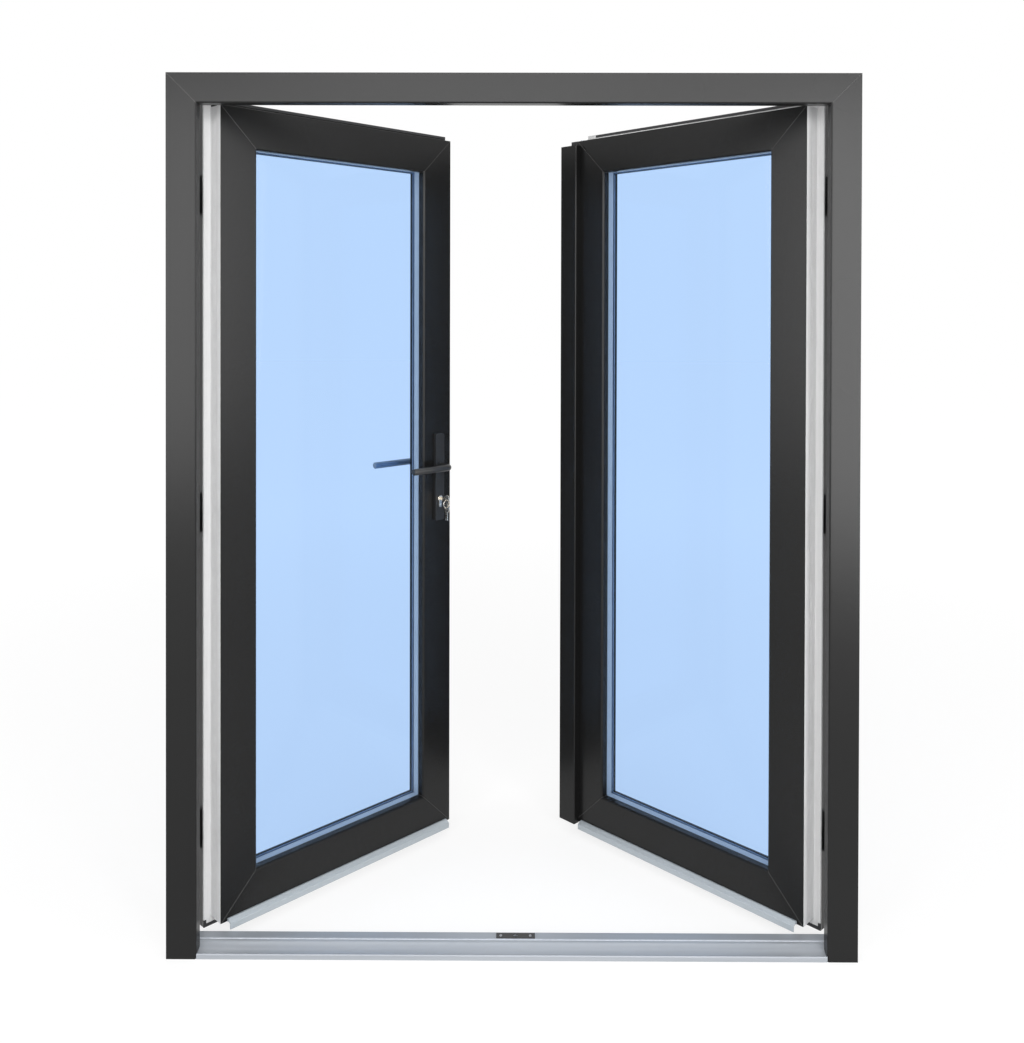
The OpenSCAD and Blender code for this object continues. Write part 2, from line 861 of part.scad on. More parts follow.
// Latch with a sloped nose; its lug hangs beside the follower's arm
module latch_bolt() {
    lug_x = -backset - 4.2;
    color(metal) on_lock() {
        translate([0, 0, latch_up - latch_h / 2]) linear_extrude(latch_h) polygon([
            [latch_throw - 1.5, lock_y + latch_t / 2], [latch_throw - 10, lock_y - latch_t / 2],
            [lug_x - 5, lock_y - latch_t / 2], [lug_x - 5, lock_y + latch_t / 2]
        ]);
        translate([lug_x - 5, lock_y - latch_t / 4, 11]) cube([5, latch_t / 2, latch_up - latch_h / 2 - 11]);
    }
}

module deadbolt() {
    low = -cylinder_drop + bolt_up - dead_h / 2;
    color(metal) on_lock() translate([-backset - 4, lock_y - dead_t / 2, low])
        cube([backset + 3, dead_t, dead_h]);
}

module cylinder_plug() {
    color(metal) on_lock() translate([-backset, 0, -cylinder_drop]) difference() {
        union() {
            across_leaf(-plug_face, leaf_depth + plug_face) circle(r = plug_r);
            across_leaf(lock_y - cam_t / 2, lock_y + cam_t / 2) union() {
                circle(r = body_r);
                intersection() {
                    translate([-4, -cam_r]) square([8, cam_r]);
                    circle(r = cam_r);
                }
            }
        }
        across_leaf(-plug_face - eps, -plug_face + key_blade + 2)
            square([key_t, key_h + 2 * slack], center = true);
    }
}

// Flat key outline from the plug's face outwards, in distance and height
module key_outline() {
    translate([-key_blade, -key_h / 2]) square([key_blade + key_stem - bow_r / 2, key_h]);
    difference() {
        translate([key_stem, 0]) circle(r = bow_r);
        translate([key_stem, 0]) circle(r = bow_hole);
    }
}

module flat_key() {
    translate([key_t / 2 - 0.1, 0, 0]) rotate([90, 0, -90]) linear_extrude(key_t - 0.2) key_outline();
}

module on_cylinder() {
    on_lock() translate([-backset, 0, -cylinder_drop]) children();
}

module door_key() {
    color(metal) on_cylinder() translate([0, -plug_face, 0]) flat_key();
}

module key_ring() {
    color(metal) on_cylinder() translate([0, -bow_out, ring_z - ring_r]) rotate([90, 0, 0])
        rotate_extrude() translate([ring_r, 0]) circle(r = wire_r, $fn = 24);
}

module spare_key() {
    hang = 2 * ring_z - 2 * ring_r;
    color(metal) on_cylinder() translate([0, -bow_out, hang]) rotate([90, 0, 90])
        translate([0, 0, -key_t / 2]) linear_extrude(key_t) difference() {
            union() {
                circle(r = bow_r);
                rotate([0, 0, -90]) translate([0, -key_h / 2]) square([bow_r + key_blade, key_h]);
            }
            circle(r = bow_hole);
        }
}

// Astragal on the passive leaf, in closed frame coordinates

module astragal_profile() {
    back = leaf_y - stop_gap;
    left = -astragal_w / 2;
    bevel = 2;
    difference() {
        polygon([
            [left + bevel, front_y], [-left - bevel, front_y], [-left, front_y + bevel], [-left, leaf_y],
            [half_gap, leaf_y], [half_gap, lip_y], [lip_x, lip_y], [lip_x, core_y], [core_x, core_y],
            [core_x, back], [left, back], [left, front_y + bevel]
        ]);
        translate([left + bar_wall + bevel, front_y + bar_wall])
            square([astragal_w - 2 * bar_wall - 2 * bevel, back - front_y - 2 * bar_wall]);
        translate([core_x + bar_wall, leaf_y + bar_wall])
            square([half_gap - core_x - 2 * bar_wall, core_y - leaf_y - 2 * bar_wall]);
        translate([lip_x + bar_wall, core_y])
            square([half_gap - lip_x - 2 * bar_wall, lip_y - core_y - bar_wall]);
    }
}

// Holes in the astragal's edge where the latch and deadbolt enter, in closed frame coordinates
module bolt_pockets(x, depth) {
    latch_z = leaf_z + lever_z + latch_up;
    dead_z = leaf_z + lever_z - cylinder_drop + bolt_up;
    for (hole = [[latch_z, latch_h], [dead_z, dead_h]])
        translate([x, leaf_y + lock_y - latch_t / 2 - 1, hole[0] - hole[1] / 2 - 1])
            cube([depth, latch_t + 2, hole[1] + 2]);
}

module astragal() {
    color(foil) with_right_leaf() difference() {
        translate([0, 0, astragal_low]) linear_extrude(astragal_high - astragal_low) astragal_profile();
        bolt_pockets(core_x - eps, bar_wall + 2 * eps);
    }
}

module astragal_cap(z, h) {
    translate([0, 0, z]) linear_extrude(h) difference() {
        translate([core_x, leaf_y]) square([half_gap - core_x, core_y - leaf_y]);
        translate([shoot_x, shoot_y]) circle(r = bolt_r + seal_gap);
    }
}

// Black end caps, and the black seal behind the front plate
module astragal_caps_and_seal() {
    color(rubber) with_right_leaf() {
        translate([-astragal_w / 2 + 1, leaf_y - stop_gap, leaf_z])
            cube([gasket_w, stop_gap - seal_gap, astragal_high - leaf_z]);
        astragal_cap(astragal_high, leaf_top - astragal_high);
        astragal_cap(astragal_low - 6, 6);
    }
}

module lock_keep() {
    low = leaf_z + lever_z + case_low;
    color(metal) with_right_leaf() difference() {
        translate([core_x - keep_t, leaf_y + lock_y - 9, low]) cube([keep_t, 18, case_high - case_low]);
        bolt_pockets(core_x - keep_t - eps, keep_t + 2 * eps);
    }
}

// Base with two ears that carry the flip lever's pin
module flip_base() {
    ear = 3;
    color(metal) with_right_leaf() translate([core_x, shoot_y, gear_z]) difference() {
        union() {
            translate([-keep_t, -flip_w / 2 - ear - lock_gap, -12])
                cube([keep_t, flip_w + 2 * ear + 2 * lock_gap, 24]);
            for (side = [-1, 1])
                translate([-keep_t - flip_t, side * (flip_w / 2 + lock_gap + ear / 2) - ear / 2, -4])
                    cube([flip_t, ear, 8]);
        }
        translate([-keep_t - flip_t / 2, 0, 0]) rotate([90, 0, 0])
            cylinder(r = flip_pin_r + pin_clear, h = 3 * flip_w, center = true);
    }
}

module flip_lever() {
    color(metal) with_right_leaf() translate([core_x - keep_t - flip_t / 2, shoot_y, gear_z]) {
        rotate([90, 0, 0]) cylinder(r = flip_pin_r, h = flip_w + 6, center = true);
        difference() {
            union() {
                rotate([90, 0, 0]) cylinder(r = flip_t / 2 - lock_gap / 2, h = flip_w, center = true);
                translate([-flip_t / 2 + lock_gap / 2, -flip_w / 2, 0])
                    cube([flip_t - lock_gap, flip_w, flip_l]);
            }
            translate([-flip_t / 2, 0, flip_l * 0.8]) rotate([0, 90, 0]) cylinder(r = 3, h = 1.2);
        }
    }
}

module top_shoot_bolt() {
    low = gear_z + flip_l;
    color(metal) with_right_leaf() translate([shoot_x, shoot_y, low])
        cylinder(r = bolt_r, h = frame_h - body_w - keep_t - keep_gap - low);
}

module bottom_shoot_bolt() {
    low = sill_h + keep_t + keep_gap;
    color(metal) with_right_leaf() translate([shoot_x, shoot_y, low])
        cylinder(r = bolt_r, h = gear_z - flip_l - low);
}

left_jamb();
right_jamb();
head();
frame_steel();
frame_gasket();
threshold();
threshold_seal();
threshold_ends();
threshold_keep();
head_keep();
left_hinge_brackets();
right_hinge_brackets();
left_hinge_pins();
right_hinge_pins();
left_hinge_stile();
left_top_rail();
left_lock_stile();
left_bottom_rail();
left_steel();
left_panes();
left_spacer();
left_beads();
left_glazing_gasket();
left_overlap_gasket();
left_drip_rail();
left_hinge_leaves();
right_hinge_stile();
right_top_rail();
right_meeting_stile();
right_bottom_rail();
right_steel();
right_panes();
right_spacer();
right_beads();
right_glazing_gasket();
right_overlap_gasket();
right_drip_rail();
right_hinge_leaves();
lock_case();
faceplate();
outer_backplate();
inner_backplate();
cylinder_body();
outer_lever();
inner_lever();
spindle();
follower();
latch_bolt();
deadbolt();
cylinder_plug();
door_key();
key_ring();
spare_key();
astragal();
astragal_caps_and_seal();
lock_keep();
flip_base();
flip_lever();
top_shoot_bolt();
bottom_shoot_bolt();
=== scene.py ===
import json
import math

import bmesh
import bpy
from mathutils import Matrix, Vector

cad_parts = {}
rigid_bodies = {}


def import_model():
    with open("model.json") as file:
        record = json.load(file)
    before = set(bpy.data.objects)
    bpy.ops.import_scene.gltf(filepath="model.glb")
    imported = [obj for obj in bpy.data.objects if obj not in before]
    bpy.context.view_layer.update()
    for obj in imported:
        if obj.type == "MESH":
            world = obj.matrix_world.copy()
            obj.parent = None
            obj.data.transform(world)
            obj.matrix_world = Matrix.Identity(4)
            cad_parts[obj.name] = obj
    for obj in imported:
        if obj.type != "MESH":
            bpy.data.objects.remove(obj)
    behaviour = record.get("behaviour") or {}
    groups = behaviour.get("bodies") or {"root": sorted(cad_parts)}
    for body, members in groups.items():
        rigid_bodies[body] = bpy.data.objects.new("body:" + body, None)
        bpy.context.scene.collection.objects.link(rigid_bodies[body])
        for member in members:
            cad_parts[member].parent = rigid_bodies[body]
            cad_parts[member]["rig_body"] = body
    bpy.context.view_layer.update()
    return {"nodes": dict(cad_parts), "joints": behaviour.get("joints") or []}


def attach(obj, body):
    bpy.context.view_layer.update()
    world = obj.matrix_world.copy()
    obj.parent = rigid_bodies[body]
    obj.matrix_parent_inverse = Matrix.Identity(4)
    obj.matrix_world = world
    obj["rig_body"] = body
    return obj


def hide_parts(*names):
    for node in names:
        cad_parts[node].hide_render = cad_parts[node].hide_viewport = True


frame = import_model()
nodes = frame["nodes"]

# Frame bars: two jambs and a head, extruded in white plastic with dark foil on the outer stop and inner face.
# The bars are hollow and welded at the top corners, where a fine groove is left along the mitre.
# The jambs run down past the threshold, and screws hold them to the sides of the opening.
FRAME_W = 1.600
FRAME_H = 2.050
FRAME_DEPTH = 0.076
FOIL_WRAP = 0.0285
FACE_WRAP = 0.0012
BAR_EDGE = 0.0012
FOIL_DARK = (0.0065, 0.0065, 0.0065, 1)
FOIL_LIGHT = (0.0085, 0.0085, 0.0085, 1)
FOIL_SHINE = 0.26
FOIL_ROUGH = (0.24, 0.32)
FOIL_CLOUD = 2.2
FOIL_GRAIN = 1500.0
GRAIN_DETAIL = 3.0
GRAIN_STRENGTH = 0.10
GRAIN_DEPTH = 0.0002
WELD_LOW = (0.050, 0.049, 0.048, 1)
WELD_HIGH = (0.085, 0.083, 0.081, 1)
WELD_HALF = 0.0009
PLASTIC_LOW = (0.80, 0.80, 0.80, 1)
PLASTIC_HIGH = (0.85, 0.85, 0.85, 1)
PLASTIC_ROUGH = (0.28, 0.38)
TONE_FROM = 0.3
TONE_TO = 0.7
JOIN_WITHIN = 1e-6
FLAT_WITHIN = math.radians(0.3)
BEVEL_FROM = math.radians(28)
FLAT_WEIGHT = 100


def new_material(name):
    """A node material with one principled shader, as the material, its tree and the shader."""
    material = bpy.data.materials.new(name)
    material.use_nodes = True
    tree = material.node_tree
    shader = tree.nodes["Principled BSDF"]
    return material, tree, shader


def add(tree, kind, **values):
    """A node with its plain properties and its unlinked inputs set by name or number."""
    node = tree.nodes.new(kind)
    for key, value in values.items():
        if key == "inputs":
            for socket, number in value.items():
                node.inputs[socket].default_value = number
        else:
            setattr(node, key, value)
    return node


def math_node(tree, operation, first, second=None):
    """A math node on two sockets or numbers, as its output socket."""
    node = add(tree, "ShaderNodeMath", operation=operation)
    for index, value in enumerate((first, second)):
        if value is None:
            continue
        if isinstance(value, (int, float)):
            node.inputs[index].default_value = value
        else:
            tree.links.new(value, node.inputs[index])
    return node.outputs[0]


def object_noise(tree, scale, stretch=(1, 1, 1), detail=2.0):
    """Noise on the object's own coordinates, stretched along an axis where asked."""
    where = add(tree, "ShaderNodeTexCoord")
    mapping = add(tree, "ShaderNodeMapping", inputs={"Scale": stretch})
    noise = add(tree, "ShaderNodeTexNoise", inputs={"Scale": scale, "Detail": detail})
    tree.links.new(where.outputs["Object"], mapping.inputs["Vector"])
    tree.links.new(mapping.outputs["Vector"], noise.inputs["Vector"])
    return noise.outputs["Fac"]


def two_tone(tree, factor, low, high):
    """A colour that runs from low to high with the factor."""
    ramp = add(tree, "ShaderNodeValToRGB")
    ramp.color_ramp.elements[0].color = low
    ramp.color_ramp.elements[1].color = high
    ramp.color_ramp.elements[0].position = TONE_FROM
    ramp.color_ramp.elements[1].position = TONE_TO
    tree.links.new(factor, ramp.inputs["Fac"])
    return ramp.outputs["Color"]


def spread(tree, factor, low, high):
    """A number that runs from low to high with the factor."""
    ends = {"From Min": TONE_FROM, "From Max": TONE_TO, "To Min": low, "To Max": high}
    node = add(tree, "ShaderNodeMapRange", inputs=ends)
    tree.links.new(factor, node.inputs["Value"])
    return node.outputs["Result"]


def bump(tree, shader, height, strength, distance):
    """A bump on the shader's normal."""
    node = add(tree, "ShaderNodeBump", inputs={"Strength": strength, "Distance": distance})
    tree.links.new(height, node.inputs["Height"])
    tree.links.new(node.outputs["Normal"], shader.inputs["Normal"])


def choose(tree, mask, plain, covered, kind):
    """One of two colours or numbers by a mask of nought or one."""
    node = add(tree, "ShaderNodeMix", data_type=kind)
    first = {"RGBA": 6, "FLOAT": 2}[kind]
    tree.links.new(mask, node.inputs[0])
    tree.links.new(plain, node.inputs[first])
    tree.links.new(covered, node.inputs[first + 1])
    return node.outputs[{"RGBA": 2, "FLOAT": 0}[kind]]


def foil_and_plastic(name, masks):
    """Dark grained foil where the first mask is one, grey where the weld cuts it, white plastic elsewhere."""
    material, tree, shader = new_material(name)
    cloud = object_noise(tree, FOIL_CLOUD)
    grain = object_noise(tree, FOIL_GRAIN, detail=GRAIN_DETAIL)
    extruded = object_noise(tree, scale=60.0, stretch=(6, 6, 0.15))
    mask, weld = masks(tree)
    whole = two_tone(tree, cloud, FOIL_DARK, FOIL_LIGHT)
    cut = two_tone(tree, cloud, WELD_LOW, WELD_HIGH)
    foil = choose(tree, weld, whole, cut, "RGBA")
    plastic = two_tone(tree, extruded, PLASTIC_LOW, PLASTIC_HIGH)
    tree.links.new(choose(tree, mask, plastic, foil, "RGBA"), shader.inputs["Base Color"])
    foil_rough = spread(tree, grain, *FOIL_ROUGH)
    plastic_rough = spread(tree, extruded, *PLASTIC_ROUGH)
    tree.links.new(choose(tree, mask, plastic_rough, foil_rough, "FLOAT"), shader.inputs["Roughness"])
    shader.inputs["Specular IOR Level"].default_value = FOIL_SHINE
    bump(tree, shader, grain, GRAIN_STRENGTH, GRAIN_DEPTH)
    return material


def weld_mask(tree, beside, from_end):
    """One on the mitre, where the distances from the two outer edges are the same."""
    apart = math_node(tree, "ABSOLUTE", math_node(tree, "SUBTRACT", beside, from_end))
    return math_node(tree, "LESS_THAN", apart, WELD_HALF)


def frame_masks(tree):
    """One on the frame's outer stop and on its inner face, by depth; and one on the mitres."""
    where = add(tree, "ShaderNodeTexCoord")
    parts = add(tree, "ShaderNodeSeparateXYZ")
    tree.links.new(where.outputs["Object"], parts.inputs[0])
    stop = math_node(tree, "LESS_THAN", parts.outputs["Y"], FOIL_WRAP - FRAME_DEPTH / 2)
    inside = math_node(tree, "GREATER_THAN", parts.outputs["Y"], FRAME_DEPTH / 2 - FACE_WRAP)
    beside = math_node(tree, "SUBTRACT", FRAME_W / 2, math_node(tree, "ABSOLUTE", parts.outputs["X"]))
    from_end = math_node(tree, "SUBTRACT", FRAME_H, parts.outputs["Z"])
    return math_node(tree, "MAXIMUM", stop, inside), weld_mask(tree, beside, from_end)


def merged_copy(node):
    """A copy of a solid's mesh with its triangles joined to flat faces, as a new object at the origin."""
    mesh = nodes[node].data.copy()
    mesh.materials.clear()
    shape = bmesh.new()
    shape.from_mesh(mesh)
    bmesh.ops.remove_doubles(shape, verts=shape.verts, dist=JOIN_WITHIN)
    bmesh.ops.dissolve_limit(shape, angle_limit=FLAT_WITHIN, verts=shape.verts, edges=shape.edges)
    shape.to_mesh(mesh)
    shape.free()
    piece = bpy.data.objects.new(node + "_finished", mesh)
    bpy.context.scene.collection.objects.link(piece)
    return piece


def settle(piece):
    """Turns a piece's modifiers into a plain mesh."""
    graph = bpy.context.evaluated_depsgraph_get()
    made = bpy.data.meshes.new_from_object(piece.evaluated_get(graph))
    piece.modifiers.clear()
    piece.data = made


def eased(node, material, edge, steps=2):
    """The node with its sharp edges eased by a small bevel; it stands for the solid."""
    piece = merged_copy(node)
    piece.data.shade_smooth()
    bevel = piece.modifiers.new("eased_edges", "BEVEL")
    bevel.width = edge
    bevel.segments = steps
    bevel.limit_method = "ANGLE"
    bevel.angle_limit = BEVEL_FROM
    flat = piece.modifiers.new("flat_faces", "WEIGHTED_NORMAL")
    flat.weight = FLAT_WEIGHT
    settle(piece)
    piece.data.materials.append(material)
    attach(piece, nodes[node]["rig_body"])
    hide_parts(node)


frame_finish = foil_and_plastic("frame_foil_and_plastic", frame_masks)
for bar in ("left_jamb", "right_jamb", "head"):
    eased(bar, frame_finish, BAR_EDGE)

# Frame steel and gasket: zinc-plated square tubes slid into the bars' main chamber to stiffen them.
# The gasket is a black rubber strip pressed into a groove behind the stop, where the leaf's face meets it.
ZINC_LOW = (0.36, 0.37, 0.39, 1)
ZINC_HIGH = (0.50, 0.51, 0.53, 1)
RUBBER_LOW = (0.010, 0.010, 0.011, 1)
RUBBER_HIGH = (0.020, 0.020, 0.022, 1)
BLOOM_SCALE = 240.0
BLOOM_DETAIL = 4.0
GASKET_EDGE = 0.0007


def metal(name, low, high, rough, scale, stretch, grain_depth, bare=1.0):
    """A metal whose tone and gloss follow fine streaks; bare is less than one under an oxide coat."""
    material, tree, shader = new_material(name)
    streak = object_noise(tree, scale, stretch, detail=4.0)
    tree.links.new(two_tone(tree, streak, low, high), shader.inputs["Base Color"])
    tree.links.new(spread(tree, streak, *rough), shader.inputs["Roughness"])
    shader.inputs["Metallic"].default_value = bare
    bump(tree, shader, streak, strength=0.12, distance=grain_depth)
    return material


def rubber_material():
    """Black sealing rubber, dull, with a fine dusty bloom."""
    material, tree, shader = new_material("black_rubber")
    bloom = object_noise(tree, BLOOM_SCALE, detail=BLOOM_DETAIL)
    tree.links.new(two_tone(tree, bloom, RUBBER_LOW, RUBBER_HIGH), shader.inputs["Base Color"])
    tree.links.new(spread(tree, bloom, low=0.55, high=0.72), shader.inputs["Roughness"])
    bump(tree, shader, bloom, strength=0.15, distance=0.0003)
    return material


def dress(node, material):
    """Gives a solid whose shape is right its finish."""
    mesh = nodes[node].data
    mesh.materials.clear()
    mesh.materials.append(material)


zinc = metal(
    "zinc_plated_steel", ZINC_LOW, ZINC_HIGH,
    rough=(0.30, 0.45), scale=30.0, stretch=(1, 1, 1), grain_depth=0.0002,
)
rubber = rubber_material()
dress("frame_steel", zinc)
eased("frame_gasket", rubber, GASKET_EDGE)

# Threshold: one anodised aluminium extrusion between the jambs, with a hollowed slope behind its nose.
# A rubber strip sits in its groove, and thin end pieces close the corners at the jambs.
# Two screws hold the dark keep plate that takes the bottom bolt.
ALLOY_LOW = (0.365, 0.39, 0.425, 1)
ALLOY_HIGH = (0.415, 0.44, 0.475, 1)
SEAL_LOW = (0.50, 0.53, 0.58, 1)
SEAL_HIGH = (0.58, 0.61, 0.66, 1)
DARK_LOW = (0.013, 0.0135, 0.0145, 1)
DARK_HIGH = (0.020, 0.0205, 0.022, 1)
SILL_EDGE = 0.0006
PLATE_EDGE = 0.0004


def dark_metal_material():
    """Powder-coated metal in near black, with the fine orange peel of the coat."""
    material, tree, shader = new_material("dark_powder_coat")
    peel = object_noise(tree, scale=900.0, detail=2.0)
    tree.links.new(two_tone(tree, peel, DARK_LOW, DARK_HIGH), shader.inputs["Base Color"])
    tree.links.new(spread(tree, peel, low=0.30, high=0.40), shader.inputs["Roughness"])
    bump(tree, shader, peel, strength=0.10, distance=0.0002)
    return material


def grey_seal_material():
    """Pale grey soft plastic of the strip in the threshold's groove."""
    material, tree, shader = new_material("grey_seal")
    bloom = object_noise(tree, scale=160.0, detail=3.0)
    tree.links.new(two_tone(tree, bloom, SEAL_LOW, SEAL_HIGH), shader.inputs["Base Color"])
    tree.links.new(spread(tree, bloom, low=0.45, high=0.6), shader.inputs["Roughness"])
    return material


alloy = metal(
    "anodised_aluminium", ALLOY_LOW, ALLOY_HIGH,
    rough=(0.46, 0.56), scale=90.0, stretch=(0.02, 1, 1), grain_depth=0.0001, bare=0.35,
)
dark_metal = dark_metal_material()
eased("threshold", alloy, SILL_EDGE)
eased("threshold_seal", grey_seal_material(), GASKET_EDGE)
eased("threshold_ends", alloy, SILL_EDGE)
eased("threshold_keep", dark_metal, PLATE_EDGE)
eased("head_keep", zinc, PLATE_EDGE)

# Hinges: three a side, dark coated brackets on the frame with steel pins, and plates on the leaves.
# The bracket's knuckle carries the pin, and the leaf's knuckle drops over it.
HINGE_EDGE = 0.0012
for side in ("left", "right"):
    eased(side + "_hinge_brackets", dark_metal, HINGE_EDGE, 3)
    eased(side + "_hinge_leaves", dark_metal, HINGE_EDGE, 3)
    dress(side + "_hinge_pins", zinc)

# Leaves: four hollow bars each, welded at the corners, with dark foil on both faces and the glass lip.
# The edges in the rebate keep the white of the plastic, and steel tubes stiffen the bars.
# A hardware groove runs along every edge, and the inner flange laps over the frame.
PIN_TO_EDGE = 0.030
PIN_TO_FACE = 0.079
LEAF_W = 0.7245
LEAF_LOW = 0.036
LEAF_TOP = 1.992
LEAF_H = LEAF_TOP - LEAF_LOW
OPEN = math.radians(45)
FLANGE_FRONT = 0.049
LIP_FROM = 0.070
LIP_DEPTH = 0.0215
WRAP_OVER = 0.001
UPWARD = Vector((0, 0, 1))
SWINGS = {joint["name"]: joint for joint in frame["joints"]}


class LeafPlace:
    """A leaf's corner and directions as it stands: along it, into the room through it, and up."""

    def __init__(self, side):
        sign = -1 if side == "left" else 1
        pin = Vector(SWINGS[side + "_leaf_swing"]["pos_m"])
        self.along = Vector((-sign * math.cos(OPEN), math.sin(OPEN), 0))
        self.inward = Vector((sign * math.sin(OPEN), math.cos(OPEN), 0))
        self.corner = pin + self.along * PIN_TO_EDGE - self.inward * PIN_TO_FACE
        self.corner.z = LEAF_LOW

    def point(self, s, depth, up):
        """A point by its distance along the leaf, behind its outer face, and over its lower edge."""
        return self.corner + self.along * s + self.inward * depth + Vector((0, 0, up))


def from_corner(tree, place):
    """The shaded point as a vector from the leaf's lower corner on the hinge side."""
    where = add(tree, "ShaderNodeTexCoord")
    shifted = add(tree, "ShaderNodeVectorMath", operation="SUBTRACT")
    shifted.inputs[1].default_value = place.corner
    tree.links.new(where.outputs["Object"], shifted.inputs[0])
    return shifted.outputs["Vector"]


def measure(tree, vector, direction):
    """How far a vector reaches along a direction."""
    dot = add(tree, "ShaderNodeVectorMath", operation="DOT_PRODUCT")
    dot.inputs[1].default_value = direction
    tree.links.new(vector, dot.inputs[0])
    return dot.outputs["Value"]


def leaf_masks(place, wrapped):
    """A mask maker: one on both faces, the lip and over the wrapped height; and one on the mitres."""

    def masks(tree):
        spot = from_corner(tree, place)
        s = measure(tree, spot, place.along)
        depth = measure(tree, spot, place.inward)
        up = measure(tree, spot, UPWARD)
        sides = math_node(tree, "MINIMUM", s, math_node(tree, "SUBTRACT", LEAF_W, s))
        ends = math_node(tree, "MINIMUM", up, math_node(tree, "SUBTRACT", LEAF_H, up))
        inset = math_node(tree, "MINIMUM", sides, ends)
        face = math_node(tree, "LESS_THAN", depth, FACE_WRAP)
        in_lip = math_node(tree, "GREATER_THAN", inset, LIP_FROM)
        lip = math_node(tree, "MULTIPLY", in_lip, math_node(tree, "LESS_THAN", depth, LIP_DEPTH))
        inside = math_node(tree, "GREATER_THAN", depth, FLANGE_FRONT + FACE_WRAP)
        over = math_node(tree, "GREATER_THAN", up, wrapped)
        top_run = math_node(tree, "MULTIPLY", over, math_node(tree, "GREATER_THAN", s, FACE_WRAP))
        behind = math_node(tree, "MAXIMUM", inside, top_run)
        foiled = math_node(tree, "MAXIMUM", behind, math_node(tree, "MAXIMUM", face, lip))
        return foiled, weld_mask(tree, sides, ends)

    return masks


places = {side: LeafPlace(side) for side in ("left", "right")}
bars = {
    "left": ("hinge_stile", "top_rail", "lock_stile", "bottom_rail"),
    "right": ("hinge_stile", "top_rail", "meeting_stile", "bottom_rail"),
}
# The left leaf has foil on its top flange too. The right one has none there, so its limit lies past the top.
WRAPPED = {"left": LEAF_H + WRAP_OVER, "right": LEAF_TOP}
leaf_finish = {}
for side, place in places.items():
    leaf_finish[side] = foil_and_plastic(side + "_leaf_foil_and_plastic", leaf_masks(place, WRAPPED[side]))
    for bar in bars[side]:
        eased(f"{side}_{bar}", leaf_finish[side], BAR_EDGE)
    dress(side + "_steel", zinc)

# Flange gasket: a soft strip along the edge of the inner flange, where it presses on the frame.
# Black at the top and bottom; the run on the hinge side is of the same white as the rebate.
FLANGE_OVER = 0.002


def flange_gasket_material(side, place):
    """Black rubber, and white soft plastic on the hinge side's run."""
    material, tree, shader = new_material(side + "_flange_gasket")
    spot = from_corner(tree, place)
    beside = math_node(tree, "LESS_THAN", measure(tree, spot, place.along), -FLANGE_OVER)
    over_end = math_node(tree, "GREATER_THAN", measure(tree, spot, UPWARD), -FLANGE_OVER)
    white_run = math_node(tree, "MULTIPLY", beside, over_end)
    bloom = object_noise(tree, BLOOM_SCALE, detail=BLOOM_DETAIL)
    black = two_tone(tree, bloom, RUBBER_LOW, RUBBER_HIGH)
    white = two_tone(tree, bloom, PLASTIC_LOW, PLASTIC_HIGH)
    tree.links.new(choose(tree, white_run, black, white, "RGBA"), shader.inputs["Base Color"])
    tree.links.new(spread(tree, bloom, low=0.5, high=0.66), shader.inputs["Roughness"])
    return material


for side, place in places.items():
    eased(side + "_overlap_gasket", flange_gasket_material(side, place), GASKET_EDGE)

# Groove covers: white plastic strips pressed into the hardware groove of each hinge stile.
# They lie flush with its edge, and two fine lines run along each, as the extrusion leaves them.
GROOVE_FROM = 0.021
GROOVE_W = 0.016
GROOVE_DEPTH = 0.004
COVER_FIT = 0.0001
LINE_W = 0.0016
LINE_DEPTH = 0.0012
LINE_SHARES = (0.3, 0.7)
COVER_END = 0.0004


def white_plastic_material(name, low, high):
    """Moulded plastic, satin, with a faint mottle."""
    material, tree, shader = new_material(name)
    mottle = object_noise(tree, scale=45.0, detail=3.0)
    tree.links.new(two_tone(tree, mottle, low, high), shader.inputs["Base Color"])
    tree.links.new(spread(tree, mottle, low=0.30, high=0.42), shader.inputs["Roughness"])
    bump(tree, shader, mottle, strength=0.05, distance=0.0003)
    return material


white_plastic = white_plastic_material("white_moulded_plastic", PLASTIC_LOW, PLASTIC_HIGH)


def leaf_strip(name, place, outline, low, high, material, body):
    """A strip of one section up the leaf; the outline is in distance along and depth."""
    shape = bmesh.new()
    rings = []
    for up in (low, high):
        rings.append([shape.verts.new(place.point(s, depth, up)) for s, depth in outline])
    shape.faces.new(rings[0])
    shape.faces.new(rings[1])
    for index in range(len(outline)):
        after = (index + 1) % len(outline)
        shape.faces.new((rings[0][index], rings[0][after], rings[1][after], rings[1][index]))
    bmesh.ops.recalc_face_normals(shape, faces=shape.faces)
    mesh = bpy.data.meshes.new(name)
    shape.to_mesh(mesh)
    shape.free()
    piece = bpy.data.objects.new(name, mesh)
    bpy.context.scene.collection.objects.link(piece)
    mesh.materials.append(material)
    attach(piece, body)


def cover_outline():
    """Section of a groove cover: flush front with two fine lines, back in the groove."""
    start = GROOVE_FROM + COVER_FIT
    finish = GROOVE_FROM + GROOVE_W - COVER_FIT
    front = [(COVER_FIT, start)]
    for share in LINE_SHARES:
        middle = start + (finish - start) * share
        front.append((COVER_FIT, middle - LINE_W / 2))
        front.append((COVER_FIT + LINE_DEPTH, middle))
        front.append((COVER_FIT, middle + LINE_W / 2))
    front.append((COVER_FIT, finish))
    return front + [(GROOVE_DEPTH - COVER_FIT, finish), (GROOVE_DEPTH - COVER_FIT, start)]


for side, place in places.items():
    leaf_strip(
        side + "_groove_cover", place, cover_outline(), COVER_END, LEAF_H - COVER_END,
        white_plastic, side + "_leaf",
    )

